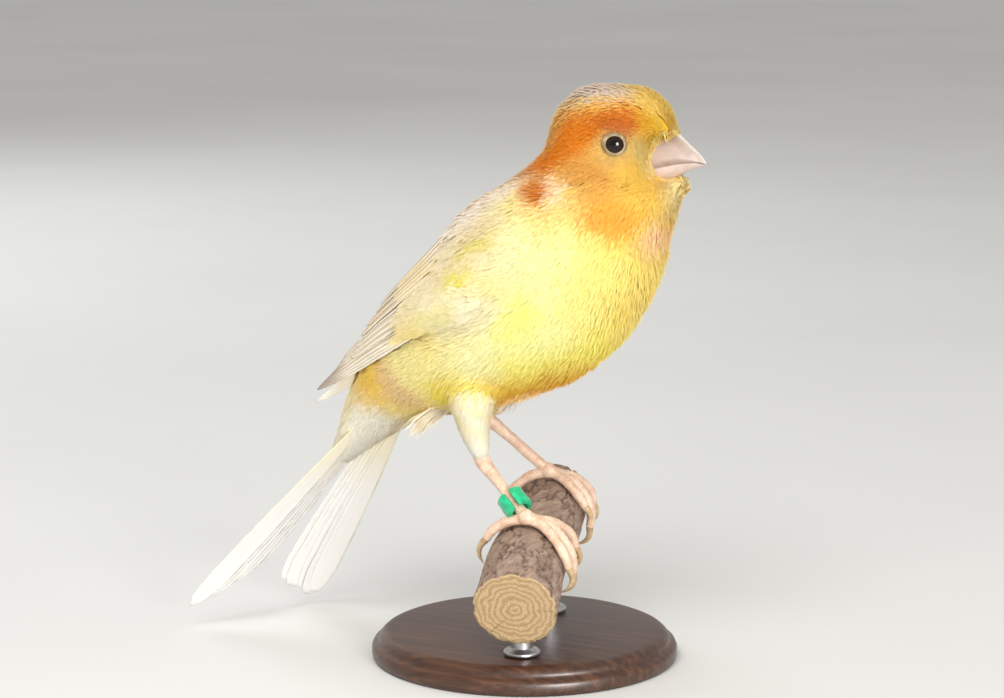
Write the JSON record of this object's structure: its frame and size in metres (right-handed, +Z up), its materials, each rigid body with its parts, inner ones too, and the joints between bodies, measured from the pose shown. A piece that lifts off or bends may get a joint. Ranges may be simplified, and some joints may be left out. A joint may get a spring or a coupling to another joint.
{
  "type": "canary model",
  "caption": "Life-size still model of a yellow and orange canary with folded wings and a green leg ring, gripping a short cut branch on a round display stand.",
  "frame": {"origin": "middle of the round base's underside", "axes": "+X the way the bird's body faces, +Y to the bird's left, +Z up"},
  "size_m": [0.0972, 0.056, 0.1053],
  "materials": {
    "body_feathers": "soft yellow feathers",
    "neck_feathers": "soft yellow-orange feathers",
    "head_feathers": "short orange feathers",
    "tail_feathers": "smooth white feathers",
    "wing_feathers": "smooth beige feathers with darker lines",
    "thigh_down": "soft cream down",
    "bill_horn": "satin pink horn",
    "claw_horn": "satin pale horn",
    "eye_dark": "wet dark brown",
    "leg_skin": "dry scaled pink skin",
    "ring_green": "glossy green plastic",
    "bark": "rough grey-brown bark",
    "stand_wood": "satin dark-stained wood",
    "stand_steel": "brushed steel"
  },
  "bodies": {
    "root": {"torso": "body_feathers", "neck": "neck_feathers", "head": "head_feathers", "tail": "tail_feathers", "bill_upper": "bill_horn", "bill_lower": "bill_horn", "eye_left": "eye_dark", "eye_right": "eye_dark", "wing_left": "wing_feathers", "wing_right": "wing_feathers", "thigh_left": "thigh_down", "tarsus_left": "leg_skin", "foot_left": "leg_skin", "claw_left_1": "claw_horn", "claw_left_2": "claw_horn", "claw_left_3": "claw_horn", "claw_left_4": "claw_horn", "thigh_right": "thigh_down", "tarsus_right": "leg_skin", "foot_right": "leg_skin", "claw_right_1": "claw_horn", "claw_right_2": "claw_horn", "claw_right_3": "claw_horn", "claw_right_4": "claw_horn", "leg_ring": "ring_green", "perch": "bark", "stand_base": "stand_wood", "stand_rod_1": "stand_steel", "stand_rod_2": "stand_steel"}
  },
  "joints": []
}
